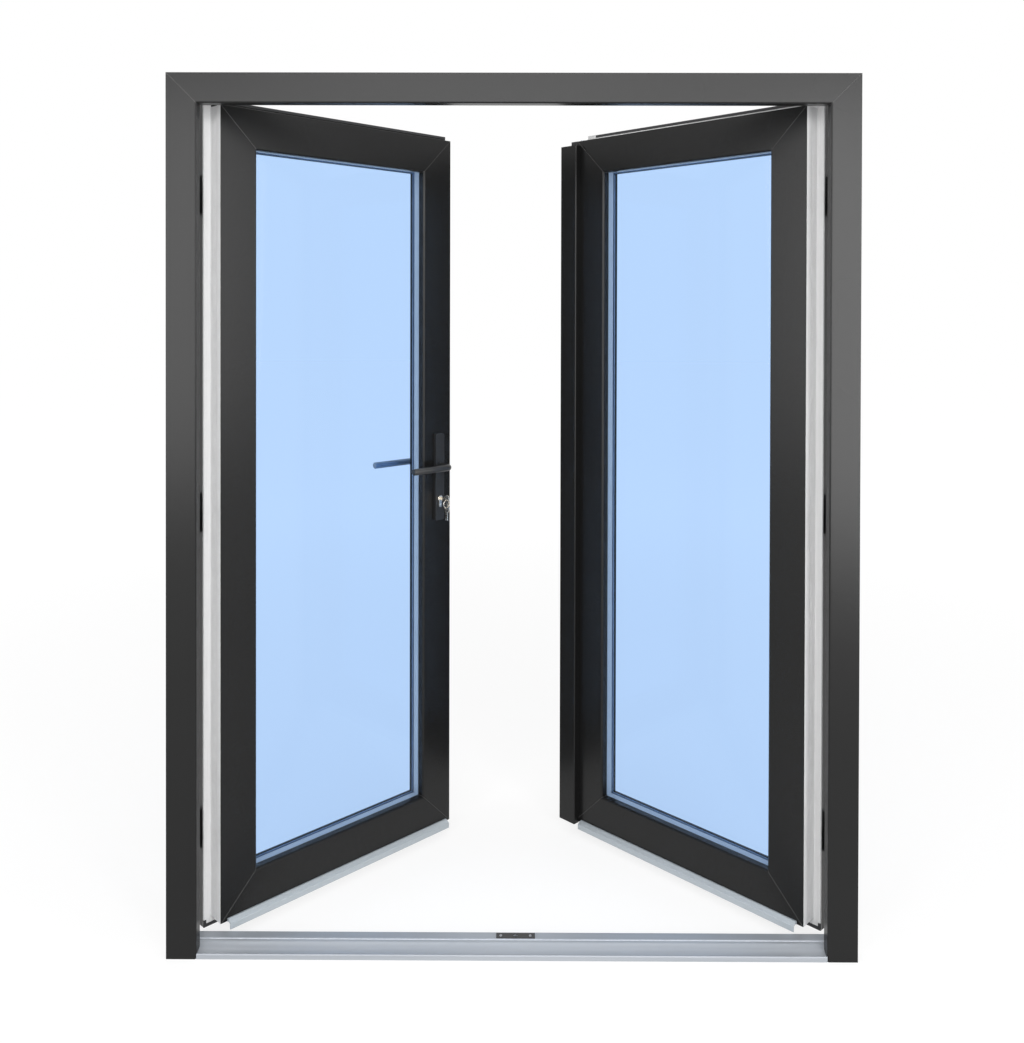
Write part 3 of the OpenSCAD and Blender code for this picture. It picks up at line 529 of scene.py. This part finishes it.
# Flange end: the raw white end of the passive leaf's top flange, with a moulded cap over it.
# The cap closes the flange's hollow and stops the gasket. Its white plastic is coloured mid grey, as painted
# shade.
CAP_LENGTH = 0.030
CAP_OVER = 0.0204
CAP_FRONT = 0.0452
# The cap's colours are painted shade: a grey well below the white plastic, standing in for the shade on its
# front.
CAP_PAINTED_SHADE_LOW = (0.50, 0.50, 0.50, 1)
CAP_PAINTED_SHADE_HIGH = (0.60, 0.60, 0.60, 1)
CAP_PROUD = 0.0003
CAP_BEHIND = 0.0002
CAP_CHAMFER = 0.0008
CAP_CLEAR = 0.0004
LEAF_DEPTH = 0.070
cap_from = LEAF_W - CAP_LENGTH
cap_end = LEAF_W + CAP_PROUD
cap_back = LEAF_DEPTH + CAP_BEHIND
cap_section = [
    (cap_from, CAP_FRONT),
    (cap_end - CAP_CHAMFER, CAP_FRONT),
    (cap_end, CAP_FRONT + CAP_CHAMFER),
    (cap_end, cap_back - CAP_CHAMFER),
    (cap_end - CAP_CHAMFER, cap_back),
    (cap_from, cap_back),
]
leaf_strip(
    "flange_end_cap", places["right"], cap_section, LEAF_H + CAP_CLEAR, LEAF_H + CAP_OVER,
    white_plastic_material("cap_plastic_painted_shade", CAP_PAINTED_SHADE_LOW, CAP_PAINTED_SHADE_HIGH), "right_leaf",
)

# Glazing: two panes of pale blue glass a leaf on a pale spacer, bedded on black gaskets.
# Dark foiled beads snap in from the room side, mitred at the corners.
GLASS_TINT = (0.70, 0.83, 1.0, 1)
BEAD_EDGE = 0.0008
BEHIND_GLASS = 0.030
GLASS_IOR = 1.12


def glass_material():
    """Clear flat glass with a pale blue body."""
    material, tree, shader = new_material("pale_blue_glass")
    ripple = object_noise(tree, scale=1.6, detail=1.0)
    tree.links.new(spread(tree, ripple, low=0.0, high=0.012), shader.inputs["Roughness"])
    shader.inputs["Base Color"].default_value = GLASS_TINT
    shader.inputs["Transmission Weight"].default_value = 1.0
    shader.inputs["IOR"].default_value = GLASS_IOR
    return material


def glazing_gasket_material(side, place):
    """Black rubber under the glass lip, and the grey soft edge of the beads behind the glass."""
    material, tree, shader = new_material(side + "_glazing_gasket")
    depth = measure(tree, from_corner(tree, place), place.inward)
    behind = math_node(tree, "GREATER_THAN", depth, BEHIND_GLASS)
    bloom = object_noise(tree, BLOOM_SCALE, detail=BLOOM_DETAIL)
    black = two_tone(tree, bloom, RUBBER_LOW, RUBBER_HIGH)
    grey = two_tone(tree, bloom, SEAL_LOW, SEAL_HIGH)
    tree.links.new(choose(tree, behind, black, grey, "RGBA"), shader.inputs["Base Color"])
    tree.links.new(spread(tree, bloom, low=0.55, high=0.70), shader.inputs["Roughness"])
    return material


glass = glass_material()
for side, place in places.items():
    dress(side + "_panes", glass)
    eased(side + "_spacer", white_plastic, PLATE_EDGE)
    eased(side + "_beads", leaf_finish[side], BEAD_EDGE)
    eased(side + "_glazing_gasket", glazing_gasket_material(side, place), GASKET_EDGE)

# Drip rails: anodised aluminium strips along the lower edge of each leaf, outside.
# They throw the rain clear of the threshold, and clip to the leaf's face.
RAIL_LOW = (0.44, 0.485, 0.52, 1)
RAIL_HIGH = (0.49, 0.535, 0.57, 1)
rail_finish = metal(
    "drip_rail_aluminium", RAIL_LOW, RAIL_HIGH,
    rough=(0.40, 0.48), scale=70.0, stretch=(1, 1, 8), grain_depth=0.0001, bare=0.4,
)
for side in places:
    eased(side + "_drip_rail", rail_finish, SILL_EDGE)

# Lock: a steel case in the lock stile with its faceplate, latch, deadbolt, follower and spindle.
# Long backplates cover the holes, dark outside and plain metal inside, and a lever turns on each.
LEVER_EDGE = 0.0010
SMOOTH_UNDER = math.radians(35)
for piece in ("lock_case", "follower", "spindle"):
    dress(piece, zinc)
for piece in ("faceplate", "latch_bolt", "deadbolt"):
    eased(piece, zinc, PLATE_EDGE)
eased("outer_backplate", dark_metal, LEVER_EDGE, 3)
eased("inner_backplate", alloy, LEVER_EDGE, 3)


def smooth(node, material):
    """A turned or bent solid kept as it is, with smooth shading and its finish."""
    piece = merged_copy(node)
    piece.data.materials.append(material)
    piece.data.shade_smooth()
    piece.data.set_sharp_from_angle(angle=SMOOTH_UNDER)
    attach(piece, nodes[node]["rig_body"])
    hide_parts(node)


smooth("outer_lever", dark_metal)
smooth("inner_lever", alloy)

# Cylinder and keys: a nickel-plated profile cylinder with the door key in it.
# A wire ring through the key's bow carries the spare key, which hangs below.
NICKEL_LOW = (0.60, 0.565, 0.50, 1)
NICKEL_HIGH = (0.74, 0.705, 0.64, 1)
nickel = metal(
    "nickel_plate", NICKEL_LOW, NICKEL_HIGH,
    rough=(0.18, 0.30), scale=160.0, stretch=(1, 1, 1), grain_depth=0.0001,
)
for piece in ("cylinder_body", "cylinder_plug", "door_key", "spare_key"):
    eased(piece, nickel, PLATE_EDGE)
smooth("key_ring", nickel)

# Astragal: a hollow bar in dark foil screwed to the passive leaf's edge, over the joint of the two leaves.
# Black caps close its ends and a black seal meets the other leaf; the lock's keep is let into its edge.
# A flip lever on the edge drives steel shoot bolts up and down.
ASTRAGAL_EDGE = 0.0022


def foil_material():
    """The dark grained foil alone, as it wraps the astragal all round."""
    material, tree, shader = new_material("astragal_foil")
    cloud = object_noise(tree, FOIL_CLOUD)
    grain = object_noise(tree, FOIL_GRAIN, detail=GRAIN_DETAIL)
    tree.links.new(two_tone(tree, cloud, FOIL_DARK, FOIL_LIGHT), shader.inputs["Base Color"])
    tree.links.new(spread(tree, grain, *FOIL_ROUGH), shader.inputs["Roughness"])
    shader.inputs["Specular IOR Level"].default_value = FOIL_SHINE
    bump(tree, shader, grain, GRAIN_STRENGTH, GRAIN_DEPTH)
    return material


eased("astragal", foil_material(), ASTRAGAL_EDGE)
eased("astragal_caps_and_seal", rubber, GASKET_EDGE)
for piece in ("lock_keep", "flip_base", "flip_lever"):
    eased(piece, zinc, PLATE_EDGE)
for piece in ("top_shoot_bolt", "bottom_shoot_bolt"):
    smooth(piece, zinc)

# Screws: countersunk steel heads with a cross recess, in the keeps, hinges, faceplate and inner backplate.
# Each goes through its plate into the steel behind the plastic.
HEAD_R = 0.0036
HEAD_RISE = 0.0007
HEAD_SIDES = 24
HEAD_DOME = ((1.0, 0.0), (0.96, 0.45), (0.75, 0.85), (0.62, 0.95))
CROSS_ARM = 0.5
CROSS_HALF = 0.11
CROSS_TAPER = 0.8
CROSS_FLOOR = -0.4
HINGE_ZS = (0.246, 1.014, 1.782)
HINGE_REACH = 0.030
LEVER_UP = 1.028
LOCK_DEPTH = 0.029
KEEP_X = 0.0095
KEEP_Y = 0.024
KEEP_TOP = 0.0215
KEEP_SPREAD = 0.035
BRACKET_X = 0.784
HINGE_PLATE = 0.006
HINGE_LEAF_S = 0.002
FACEPLATE_IN = 0.0015
FACEPLATE_SCREWS = (-0.149, 0.077)
BACKSET = 0.045
BACKPLATE = 0.009
BACKPLATE_SCREWS = (-0.142, 0.080)
LOCK_KEEP_S = 0.7495
LOCK_KEEP_SCREWS = (-0.126, 0.054)


def cross_head():
    """One screw head of unit radius: a low dome with a cross sunk in its middle."""
    shape = bmesh.new()
    rings = []
    turn = [2 * math.pi * index / HEAD_SIDES for index in range(HEAD_SIDES)]
    for radius, rise in HEAD_DOME:
        rings.append([shape.verts.new((radius * math.cos(a), radius * math.sin(a), rise)) for a in turn])
    for low, high in zip(rings, rings[1:]):
        for index in range(HEAD_SIDES):
            after = (index + 1) % HEAD_SIDES
            shape.faces.new((low[index], low[after], high[after], high[index]))
    quarter = [(CROSS_HALF, CROSS_HALF), (CROSS_HALF, CROSS_ARM), (-CROSS_HALF, CROSS_ARM)]
    outline = []
    for step in range(4):
        spin = Matrix.Rotation(step * math.pi / 2, 2)
        outline += [spin @ Vector(point) for point in quarter]
    rim_rise = HEAD_DOME[-1][1]
    rim = [shape.verts.new((x, y, rim_rise)) for x, y in outline]
    sunk = [shape.verts.new((x * CROSS_TAPER, y * CROSS_TAPER, CROSS_FLOOR)) for x, y in outline]
    edges = []
    for index in range(len(rim)):
        after = (index + 1) % len(rim)
        shape.faces.new((rim[index], sunk[index], sunk[after], rim[after]))
        edges.append(shape.edges.get((rim[index], rim[after])))
    shape.faces.new(sunk)
    top = rings[-1]
    for index in range(HEAD_SIDES):
        edges.append(shape.edges.get((top[index], top[(index + 1) % HEAD_SIDES])))
    bmesh.ops.triangle_fill(shape, use_beauty=True, use_dissolve=False, edges=edges)
    bmesh.ops.recalc_face_normals(shape, faces=shape.faces)
    mesh = bpy.data.meshes.new("cross_head")
    shape.to_mesh(mesh)
    shape.free()
    head = bpy.data.objects.new("cross_head", mesh)
    bpy.context.scene.collection.objects.link(head)
    return head


def screw_tree():
    """Puts a head on every point, turned to the point's own direction."""
    tree = bpy.data.node_groups.new("screw_heads", "GeometryNodeTree")
    for name, kind in (("Points", "Geometry"), ("Head", "Object"), ("Radius", "Float"), ("Rise", "Float")):
        tree.interface.new_socket(name, in_out="INPUT", socket_type="NodeSocket" + kind)
    tree.interface.new_socket("Metal", in_out="INPUT", socket_type="NodeSocketMaterial")
    tree.interface.new_socket("Heads", in_out="OUTPUT", socket_type="NodeSocketGeometry")
    start = tree.nodes.new("NodeGroupInput")
    finish = tree.nodes.new("NodeGroupOutput")
    head = tree.nodes.new("GeometryNodeObjectInfo")
    facing = tree.nodes.new("GeometryNodeInputNamedAttribute")
    facing.data_type = "FLOAT_VECTOR"
    facing.inputs["Name"].default_value = "facing"
    turn = tree.nodes.new("FunctionNodeAlignRotationToVector")
    turn.axis = "Z"
    size = tree.nodes.new("ShaderNodeCombineXYZ")
    placed = tree.nodes.new("GeometryNodeInstanceOnPoints")
    realised = tree.nodes.new("GeometryNodeRealizeInstances")
    finished = tree.nodes.new("GeometryNodeSetMaterial")
    link = tree.links.new
    link(start.outputs["Head"], head.inputs["Object"])
    link(facing.outputs["Attribute"], turn.inputs["Vector"])
    link(start.outputs["Radius"], size.inputs["X"])
    link(start.outputs["Radius"], size.inputs["Y"])
    link(start.outputs["Rise"], size.inputs["Z"])
    link(start.outputs["Points"], placed.inputs["Points"])
    link(head.outputs["Geometry"], placed.inputs["Instance"])
    link(turn.outputs["Rotation"], placed.inputs["Rotation"])
    link(size.outputs["Vector"], placed.inputs["Scale"])
    link(placed.outputs["Instances"], realised.inputs["Geometry"])
    link(realised.outputs["Geometry"], finished.inputs["Geometry"])
    link(start.outputs["Metal"], finished.inputs["Material"])
    link(finished.outputs["Geometry"], finish.inputs["Heads"])
    return tree


def screws(name, body, spots):
    """The screw heads of one body; a spot is a point and the direction that its head faces."""
    mesh = bpy.data.meshes.new(name)
    mesh.from_pydata([tuple(point) for point, _ in spots], [], [])
    facing = mesh.attributes.new("facing", "FLOAT_VECTOR", "POINT")
    for index, (_, outward) in enumerate(spots):
        facing.data[index].vector = outward
    piece = bpy.data.objects.new(name, mesh)
    bpy.context.scene.collection.objects.link(piece)
    modifier = piece.modifiers.new("heads", "NODES")
    modifier.node_group = heads
    values = {"Head": head_shape, "Radius": HEAD_R, "Rise": HEAD_RISE, "Metal": zinc}
    for item in heads.interface.items_tree:
        if item.in_out == "INPUT" and item.name in values:
            modifier[item.identifier] = values[item.name]
    settle(piece)
    piece.data.shade_smooth()
    piece.data.set_sharp_from_angle(angle=SMOOTH_UNDER)
    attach(piece, body)


head_shape = cross_head()
heads = screw_tree()
frame_spots = [(Vector((KEEP_X + sign * KEEP_SPREAD, KEEP_Y, KEEP_TOP)), UPWARD) for sign in (-1, 1)]
for sign in (-1, 1):
    for height in HINGE_ZS:
        for reach in (-HINGE_REACH, HINGE_REACH):
            spot = Vector((sign * BRACKET_X, FRAME_DEPTH / 2 + HINGE_PLATE, height + reach))
            frame_spots.append((spot, Vector((0, 1, 0))))
screws("frame_screws", "frame", frame_spots)
for side, place in places.items():
    spots = []
    for height in HINGE_ZS:
        for reach in (-HINGE_REACH, HINGE_REACH):
            spot = place.point(HINGE_LEAF_S, LEAF_DEPTH + HINGE_PLATE, height - LEAF_LOW + reach)
            spots.append((spot, place.inward))
    if side == "left":
        for offset in FACEPLATE_SCREWS:
            spot = place.point(LEAF_W - FACEPLATE_IN, LOCK_DEPTH, LEVER_UP + offset)
            spots.append((spot, place.along))
        for offset in BACKPLATE_SCREWS:
            spot = place.point(LEAF_W - BACKSET, LEAF_DEPTH + BACKPLATE, LEVER_UP + offset)
            spots.append((spot, place.inward))
    else:
        for offset in LOCK_KEEP_SCREWS:
            spot = place.point(LOCK_KEEP_S, LOCK_DEPTH, LEVER_UP + offset)
            spots.append((spot, place.along))
    screws(side + "_leaf_screws", side + "_leaf", spots)
bpy.data.objects.remove(head_shape)

# Studio: a pale floor under the part and soft light from above and in front.
# The surroundings are white for what the camera sees, directly or through glass and in metal.
FLOOR_SIZE = 30.0
FLOOR_COLOUR = (0.22, 0.22, 0.22, 1)
SKY_FILL = 0.48
GLOW_NEAR = 0.80
GLOW_FAR = 0.895
SWEEP_FROM = 1.0
SWEEP_TO = 6.0
FLOOR_ROUGH = 0.9
WHITE = (1, 1, 1, 1)


def ray_is_seen(tree):
    """One for camera, glossy and transmission rays."""
    light_path = add(tree, "ShaderNodeLightPath")
    glossy = math_node(
        tree, "MAXIMUM", light_path.outputs["Is Glossy Ray"], light_path.outputs["Is Transmission Ray"]
    )
    return math_node(tree, "MAXIMUM", light_path.outputs["Is Camera Ray"], glossy)


world = bpy.data.worlds.new("studio")
bpy.context.scene.world = world
world.use_nodes = True
sky = world.node_tree
backdrop = sky.nodes["Background"]
strength = add(sky, "ShaderNodeMapRange", inputs={"To Min": SKY_FILL, "To Max": 1.0})
sky.links.new(ray_is_seen(sky), strength.inputs["Value"])
sky.links.new(strength.outputs["Result"], backdrop.inputs["Strength"])
backdrop.inputs["Color"].default_value = WHITE

floor_mesh = bpy.data.meshes.new("floor")
corners = [(x * FLOOR_SIZE, y * FLOOR_SIZE, 0) for x, y in ((-1, -1), (1, -1), (1, 1), (-1, 1))]
floor_mesh.from_pydata(corners, [], [(0, 1, 2, 3)])
floor = bpy.data.objects.new("floor", floor_mesh)
bpy.context.scene.collection.objects.link(floor)
floor_finish, floor_tree, floor_shader = new_material("pale_floor")
floor_shader.inputs["Base Color"].default_value = FLOOR_COLOUR
floor_shader.inputs["Roughness"].default_value = FLOOR_ROUGH
floor_shader.inputs["Specular IOR Level"].default_value = 0.0
floor_shader.inputs["Emission Color"].default_value = WHITE
floor_place = add(floor_tree, "ShaderNodeTexCoord")
away = add(floor_tree, "ShaderNodeVectorMath", operation="LENGTH")
floor_tree.links.new(floor_place.outputs["Object"], away.inputs[0])
reach = {"From Min": SWEEP_FROM, "From Max": SWEEP_TO, "To Min": GLOW_NEAR, "To Max": GLOW_FAR}
sweep = add(floor_tree, "ShaderNodeMapRange", interpolation_type="SMOOTHSTEP", inputs=reach)
floor_tree.links.new(away.outputs["Value"], sweep.inputs["Value"])
glow = math_node(floor_tree, "MULTIPLY", ray_is_seen(floor_tree), sweep.outputs["Result"])
floor_tree.links.new(glow, floor_shader.inputs["Emission Strength"])
floor_mesh.materials.append(floor_finish)


def softbox(name, place, target, size, power):
    """A large area light that faces a point."""
    light = bpy.data.lights.new(name, "AREA")
    light.shape = "RECTANGLE"
    light.size, light.size_y = size
    light.energy = power
    lamp = bpy.data.objects.new(name, light)
    lamp.location = place
    lamp.rotation_euler = (Vector(target) - Vector(place)).to_track_quat("-Z", "Y").to_euler()
    lamp.visible_camera = False
    lamp.visible_transmission = False
    bpy.context.scene.collection.objects.link(lamp)


softbox("left_front_softbox", place=(-1.9, -3.4, 1.7), target=(-0.7, 0, 1.6), size=(0.85, 2.3), power=36)
softbox("head_softbox", place=(0.0, -4.6, 3.0), target=(0, 0, 1.7), size=(3.4, 1.2), power=76)
softbox("front_softbox", place=(0.0, -4.6, 1.3), target=(0, 0, 1.3), size=(1.2, 2.2), power=26)
softbox("right_front_softbox", place=(1.9, -3.4, 1.5), target=(0.7, 0, 1.5), size=(0.85, 2.7), power=68)
softbox("left_side_softbox", place=(-4.4, -1.9, 1.9), target=(0, 0.2, 1.2), size=(1.6, 2.6), power=45)
softbox("right_side_softbox", place=(4.4, -1.9, 1.9), target=(0, 0.2, 1.2), size=(1.6, 2.6), power=45)
softbox("top_softbox", place=(0.0, -0.2, 4.6), target=(0, 0.1, 0), size=(2.6, 2.0), power=34)

# Camera: straight at the doors from outside, a little above the middle, with the lens shifted down.
# Its place, turn and lens are fitted to the corners of the frame in the photo.
PHOTO_W = 1024
PHOTO_H = 1043
FOCAL_PIXELS = 1019.67
HORIZON_ROW = 322.96
SENSOR = 36.0
CLIP_END = 100
CAMERA_X = 0.00795
CAMERA_AWAY = 2.3454
CAMERA_UP = 1.4944
CAMERA_DIP = 0.00821
CAMERA_ROLL = -0.00229
CAMERA_TURN = 0.00428
camera_data = bpy.data.cameras.new("camera")
camera_data.sensor_width = SENSOR
camera_data.lens = FOCAL_PIXELS * SENSOR / max(PHOTO_W, PHOTO_H)
camera_data.shift_y = -(PHOTO_H / 2 - HORIZON_ROW) / max(PHOTO_W, PHOTO_H)
camera_data.clip_end = CLIP_END
camera = bpy.data.objects.new("camera", camera_data)
camera.location = (CAMERA_X, -CAMERA_AWAY - FRAME_DEPTH / 2, CAMERA_UP)
camera.rotation_euler = (math.pi / 2 - CAMERA_DIP, CAMERA_ROLL, CAMERA_TURN)
bpy.context.scene.collection.objects.link(camera)
bpy.context.scene.camera = camera
bpy.context.scene.view_settings.view_transform = "Standard"

bpy.context.view_layer.update()
